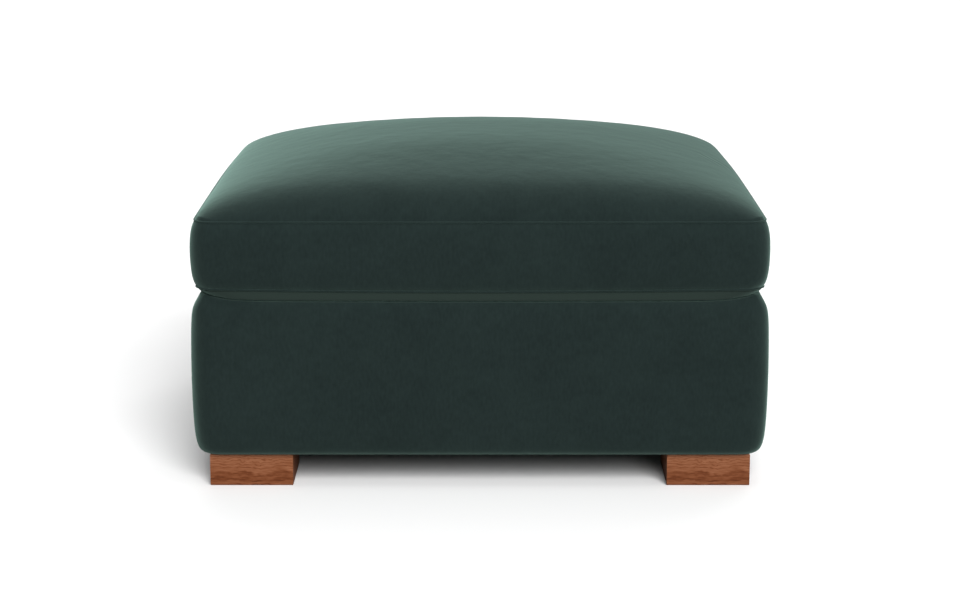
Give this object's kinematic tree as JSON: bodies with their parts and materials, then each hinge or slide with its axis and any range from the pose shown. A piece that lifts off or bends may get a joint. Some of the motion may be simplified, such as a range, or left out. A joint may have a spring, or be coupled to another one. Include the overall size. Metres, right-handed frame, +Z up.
{
  "type": "rectangular ottoman",
  "caption": "Rectangular upholstered ottoman: a crowned box cushion with raised seams lies on a velvet-covered box that stands on low square wooden block feet.",
  "frame": {"origin": "on the floor, under the middle of the ottoman", "axes": "+X to the right along the long side as seen from the front, +Y towards the back, +Z up"},
  "size_m": [0.884, 0.783, 0.5014],
  "materials": {
    "velvet": "dark green velvet, matt face on and lighter where it turns away",
    "wood": "mid-brown stained hardwood with a satin lacquer"
  },
  "bodies": {
    "root": {"cushion": "velvet", "box": "velvet", "foot_front_left": "wood", "foot_front_right": "wood", "foot_back_left": "wood", "foot_back_right": "wood"}
  },
  "joints": []
}
